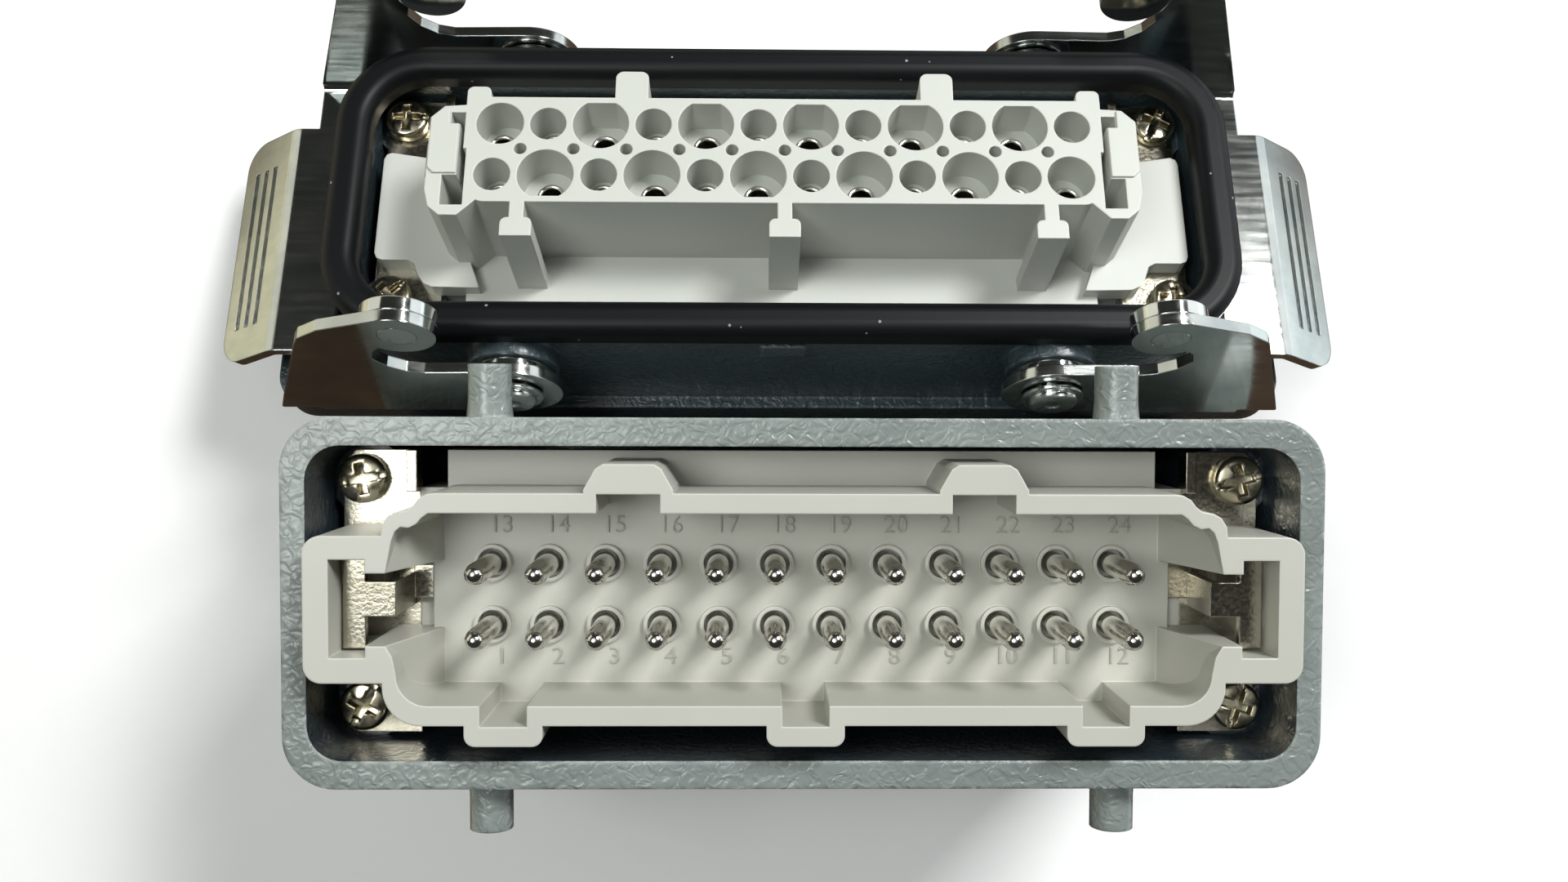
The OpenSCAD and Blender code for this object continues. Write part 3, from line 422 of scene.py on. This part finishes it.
# %% Twenty-four pins
PITCH = 6.65 * MM
ROW_GAP = 7.3 * MM
PIN_R = 1.25
PIN_TOP = 14.6
pin_profile = [(0, -4.5), (PIN_R, -4.5), (PIN_R, PIN_TOP - 2.0), (PIN_R - 0.1, PIN_TOP - 1.85)]
pin_profile += arc(0, PIN_TOP - 1.15, 1.15, 12, 90, 8)[:-1] + [(0, PIN_TOP)]
pins = in_rows("male_contact_pins", lathe(pin_profile, 40), MALE, "base", SILVER, **{
    "Columns": 12, "Column pitch": PITCH, "Row pitch": ROW_GAP})
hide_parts("male_pins")

# %% [markdown]
# ## Sockets
# Each socket is a tube with a rounded mouth. Its dark bore shows at the bottom of the chamber.

# %% Twenty-four sockets
BORE_R = 1.3
WALL_R = 1.9
MOUTH_Z = 11.3
socket_profile = [(0, -4.5), (WALL_R, -4.5)] + arc(WALL_R - 0.25, MOUTH_Z - 0.25, 0.25, 0, 90)
socket_profile += arc(BORE_R + 0.3, MOUTH_Z - 0.3, 0.3, 90, 180) + [(BORE_R, 1.0), (0, 1.0)]
sockets = in_rows("female_contact_sockets", lathe(socket_profile, 36), FEMALE, "base", SILVER, **{
    "Columns": 12, "Column pitch": PITCH, "Row pitch": ROW_GAP})
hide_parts("female_sockets")

# %% [markdown]
# ## Mounting screws
# Four captive screws hold each insert. Their pan heads take a flat blade and a cross blade, so both
# recesses are cut out of the turned head with a Boolean modifier, and a narrow bevel breaks the cut edges.

# %% One screw, then eight
HEAD_R = 2.9
HEAD_H = 1.8


def screw_mesh():
    head = [(0, -10), (1.4, -10), (1.75, -9.6), (1.75, 0), (HEAD_R, 0), (HEAD_R, HEAD_H - 0.75)]
    head += arc(HEAD_R - 0.6, HEAD_H - 0.7, 0.6, 0, 72, 5) + [(1.2, HEAD_H), (0, HEAD_H + 0.02)]
    screw = place_object("screw.blank", lathe(head, 48))
    cuts = bmesh.new()
    for length, width, depth in ((8.0, 0.75, 0.8), (3.7, 1.05, 1.5), (1.05, 3.7, 1.5)):
        block = bmesh.ops.create_cube(cuts, size=1)["verts"]
        bmesh.ops.scale(cuts, verts=block, vec=(length * MM, width * MM, 2 * depth * MM))
        bmesh.ops.translate(cuts, verts=block, vec=(0, 0, (HEAD_H + 0.02) * MM))
    mesh = bpy.data.meshes.new("blade cuts")
    cuts.to_mesh(mesh)
    cuts.free()
    blade = place_object("screw.blades", mesh)
    cut = screw.modifiers.new("recess", "BOOLEAN")
    cut.operation = "DIFFERENCE"
    cut.solver = "EXACT"
    cut.use_self = True
    cut.object = blade
    edge = screw.modifiers.new("edge", "BEVEL")
    edge.width = 0.06 * MM
    edge.segments = 2
    edge.limit_method = "ANGLE"
    edge.angle_limit = math.radians(50)
    ready = screw.evaluated_get(bpy.context.evaluated_depsgraph_get())
    mesh = bpy.data.meshes.new_from_object(ready)
    bpy.data.objects.remove(screw)
    bpy.data.objects.remove(blade)
    return mesh


SCREW_X = 51.975
SCREW_Y = 13.5
PLATE_T = 1.2
ON_PLATE = Matrix.Translation((0, 0, PLATE_T * MM))
for half, where, seed in (("male", MALE, 4), ("female", FEMALE, 9)):
    screws = in_rows(half + "_insert_screws", screw_mesh(), where @ ON_PLATE, "base", SCREW_ZINC, **{
        "Column pitch": 2 * SCREW_X * MM, "Row pitch": 2 * SCREW_Y * MM, "Largest turn": 1.5, "Seed": seed})
    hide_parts(half + "_mounting_screws")

# %% [markdown]
# ## Pivot rivets and washers
# A lever turns on two rivets. Each one shows as a stack: a wide washer on the casting, the lever's round
# end, a thinner washer and a domed rivet head. The stack is turned as three profiles that never touch the
# lever.

# %% Rivets and washers
BOSS_Y = 23.0
ARM_OUT_Y = 26.0
HEAD_Y = 26.8
SHANK_Y = 19
SHANK_R = 3.0
CLEAR_R = SHANK_R + 0.02
rivet_profile = [(0, SHANK_Y), (SHANK_R, SHANK_Y), (SHANK_R, HEAD_Y), (3.3, HEAD_Y), (3.3, HEAD_Y + 0.25)]
rivet_profile += arc(2.6, HEAD_Y + 0.25, 0.65, 10, 85, 5)
rivet_profile += [(1.2, HEAD_Y + 0.86), (1.0, HEAD_Y + 0.6), (0, HEAD_Y + 0.55)]
wide_washer = [
    (CLEAR_R, BOSS_Y), (5.0, BOSS_Y), (5.2, BOSS_Y + 0.2), (5.2, BOSS_Y + 1.1), (5.0, BOSS_Y + 1.3),
    (CLEAR_R, BOSS_Y + 1.3), (CLEAR_R, BOSS_Y)]
THIN_Y = ARM_OUT_Y + 0.2
thin_washer = [
    (CLEAR_R, THIN_Y), (3.95, THIN_Y), (4.1, THIN_Y + 0.15), (4.1, HEAD_Y - 0.15), (3.95, HEAD_Y),
    (CLEAR_R, HEAD_Y), (CLEAR_R, THIN_Y)]


def on_pivots(name, profile, replaced):
    """Two copies in front and two at the rear, with the profile's height pointing away from the casting."""
    joined = bmesh.new()
    for facing in (-1, 1):
        outward = Matrix.Rotation(math.radians(-90 * facing), 4, "X")
        for side in (-1, 1):
            part = lathe(profile, 44)
            part.transform(HOUSING @ Matrix.Translation((side * PIVOT_X * MM, 0, PIVOT_Z * MM)) @ outward)
            joined.from_mesh(part)
    mesh = bpy.data.meshes.new(name)
    joined.to_mesh(mesh)
    joined.free()
    mesh.materials.append(ZINC_BRIGHT)
    thing = place_object(name, mesh)
    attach(thing, "base")
    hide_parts(replaced)
    print(name, "has", len(mesh.polygons), "faces")


on_pivots("pivot_rivets", rivet_profile, "pivot_studs")
on_pivots("wide_washers", wide_washer, "inner_washers")
on_pivots("thin_washers", thin_washer, "outer_washers")

# %% [markdown]
# ## Contact numbers
# The pin floor carries moulded numbers, 13 to 24 behind the rear row and 1 to 12 before the front row. Text
# objects give the figures, about 0.2 mm proud, and are turned into one mesh. On the real floor they are the
# same plastic. Here they have a darker tone of it, painted shade that stands in for the shading of relief too
# low to show.

# %% Raised numbers
FIGURE_SIZE = 2.9
FIGURE_HALF_T = 0.13
FIGURE_Z = 2.66
FRONT_FIGURES_Y = -7.5
REAR_FIGURES_Y = 8.1
FIGURE_SHIFT = 1.0


def raised_number(value, x, y):
    text = bpy.data.curves.new("number", "FONT")
    text.body = str(value)
    text.size = FIGURE_SIZE * MM
    text.align_x = "CENTER"
    text.align_y = "CENTER"
    text.extrude = FIGURE_HALF_T * MM
    text.resolution_u = 4
    figure = bpy.data.objects.new("number", text)
    bpy.context.scene.collection.objects.link(figure)
    mesh = bpy.data.meshes.new_from_object(figure.evaluated_get(bpy.context.evaluated_depsgraph_get()))
    bpy.data.objects.remove(figure)
    mesh.transform(MALE @ Matrix.Translation((x, y, FIGURE_Z * MM)))
    return mesh


figures = bmesh.new()
for column in range(12):
    x = (column - 5.5) * PITCH + FIGURE_SHIFT * MM
    figures.from_mesh(raised_number(column + 1, x, FRONT_FIGURES_Y * MM))
    figures.from_mesh(raised_number(column + 13, x, REAR_FIGURES_Y * MM))
mesh = bpy.data.meshes.new("numbers")
figures.to_mesh(mesh)
figures.free()
mesh.materials.append(FIGURE_PEBBLE_PAINTED_SHADE)
numbers = place_object("contact_numbers", mesh, 30)
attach(numbers, "base")
print("numbers:", len(mesh.polygons), "faces")

# %% [markdown]
# ## Floor, world and lamps
# The floor is a large white sheet that keeps the object's shadow. What the bright metal mirrors is a room:
# a brown bench near the object, a pale cloth further out that is warmer on the left and glows a little, a
# bright patch of ceiling a little behind and to the left, and dark walls. The camera itself sees only
# white. One large soft lamp stands behind and to the right, so the shadows of the pins fall towards the
# front left, and two low windows light the levers from the sides.

# %% Floor
mesh = bpy.data.meshes.new("floor")
mesh.from_pydata([(-2, -2, 0), (2, -2, 0), (2, 2, 0), (-2, 2, 0)], [], [(0, 1, 2, 3)])
floor = bpy.data.objects.new("floor", mesh)
bpy.context.scene.collection.objects.link(floor)
FLOOR, tree, surface, place = new_material("white paper sheet")
fibres = add(tree, "ShaderNodeTexNoise", {"Vector": place, "Scale": per_mm(3), "Detail": 3})
paper = add(tree, "ShaderNodeMix", {0: fibres.outputs[0], 6: colour("#fbfbfb"), 7: colour("#ffffff")},
            data_type="RGBA")
rays = add(tree, "ShaderNodeLightPath")
BENCH_R = 120
CLOTH_R = 190
CLOTH_GLOW = 0.30
radius = add(tree, "ShaderNodeVectorMath", {0: place}, operation="LENGTH")
beyond = add(tree, "ShaderNodeMapRange", {"Value": radius.outputs["Value"],
                                          "From Min": BENCH_R * MM, "From Max": CLOTH_R * MM})
across = add(tree, "ShaderNodeSeparateXYZ", {0: place})
side = add(tree, "ShaderNodeMapRange", {"Value": across.outputs["X"],
                                        "From Min": -100 * MM, "From Max": 100 * MM})
cloth = add(tree, "ShaderNodeMix", {0: side.outputs[0], 6: colour("#d6cfb2"), 7: colour("#e6eef2")},
            data_type="RGBA")
bench = add(tree, "ShaderNodeMix", {0: beyond.outputs[0], 6: colour("#4d3a2b"), 7: cloth.outputs[2]},
            data_type="RGBA")
under = add(tree, "ShaderNodeMix", {0: rays.outputs["Is Camera Ray"], 6: bench.outputs[2], 7: paper.outputs[2]},
            data_type="RGBA")
mirrored = add(tree, "ShaderNodeMath", {0: 1.0, 1: rays.outputs["Is Camera Ray"]}, operation="SUBTRACT")
glow = add(tree, "ShaderNodeMath", {0: mirrored.outputs[0], 1: beyond.outputs[0]}, operation="MULTIPLY")
lit = add(tree, "ShaderNodeMath", {0: glow.outputs[0], 1: CLOTH_GLOW}, operation="MULTIPLY")
tree.links.new(under.outputs[2], surface.inputs["Base Color"])
tree.links.new(cloth.outputs[2], surface.inputs["Emission Color"])
tree.links.new(lit.outputs[0], surface.inputs["Emission Strength"])
surface.inputs["Roughness"].default_value = 0.9
mesh.materials.append(FLOOR)

# %% World and lamps
world = bpy.data.worlds.new("studio")
bpy.context.scene.world = world
world.use_nodes = True
tree = world.node_tree
tree.nodes.clear()
rays = add(tree, "ShaderNodeLightPath")
direction = add(tree, "ShaderNodeTexCoord").outputs["Generated"]
towards = add(tree, "ShaderNodeVectorMath", {0: direction, 1: (-0.20, 0.22, 0.955)}, operation="DOT_PRODUCT")
bright = add(tree, "ShaderNodeMapRange", {"Value": towards.outputs["Value"],
                                          "From Min": 0.89, "From Max": 0.965},
             interpolation_type="SMOOTHSTEP")
room = add(tree, "ShaderNodeMix", {0: bright.outputs[0], 6: (0.040, 0.041, 0.038, 1), 7: (1.05, 1.10, 1.08, 1)},
           data_type="RGBA")
lamp = add(tree, "ShaderNodeBackground", {"Color": room.outputs[2], "Strength": 0.85})
white = add(tree, "ShaderNodeBackground", {"Color": (1, 1, 1, 1), "Strength": 1.0})
seen = add(tree, "ShaderNodeMixShader", {0: rays.outputs["Is Camera Ray"],
                                         1: lamp.outputs[0], 2: white.outputs[0]})
add(tree, "ShaderNodeOutputWorld", {"Surface": seen.outputs[0]})


def soft_lamp(name, place, target, size, power, tint=(1, 1, 1)):
    light = bpy.data.lights.new(name, "AREA")
    light.shape = "RECTANGLE"
    light.size, light.size_y = size
    light.energy = power
    light.color = tint
    item = bpy.data.objects.new(name, light)
    item.location = place
    item.rotation_euler = (Vector(target) - Vector(place)).to_track_quat("-Z", "Y").to_euler()
    bpy.context.scene.collection.objects.link(item)


soft_lamp("rear right lamp", (0.45, 0.55, 0.75), (0, 0.03, 0.03), (0.30, 0.25), 9.2, (0.98, 0.985, 0.98))
soft_lamp("left window", (-0.50, 0.26, 0.17), (0, 0.03, 0.02), (0.55, 0.32), 0.5, (1, 0.97, 0.84))
soft_lamp("right window", (0.50, 0.26, 0.17), (0, 0.03, 0.02), (0.55, 0.32), 0.7, (0.93, 0.97, 1.0))
soft_lamp("lamp overhead", (-0.30, 0.10, 0.80), (0, 0.01, 0.05), (0.30, 0.30), 2.4, (0.98, 1, 0.98))
bpy.context.scene.view_settings.view_transform = "Standard"
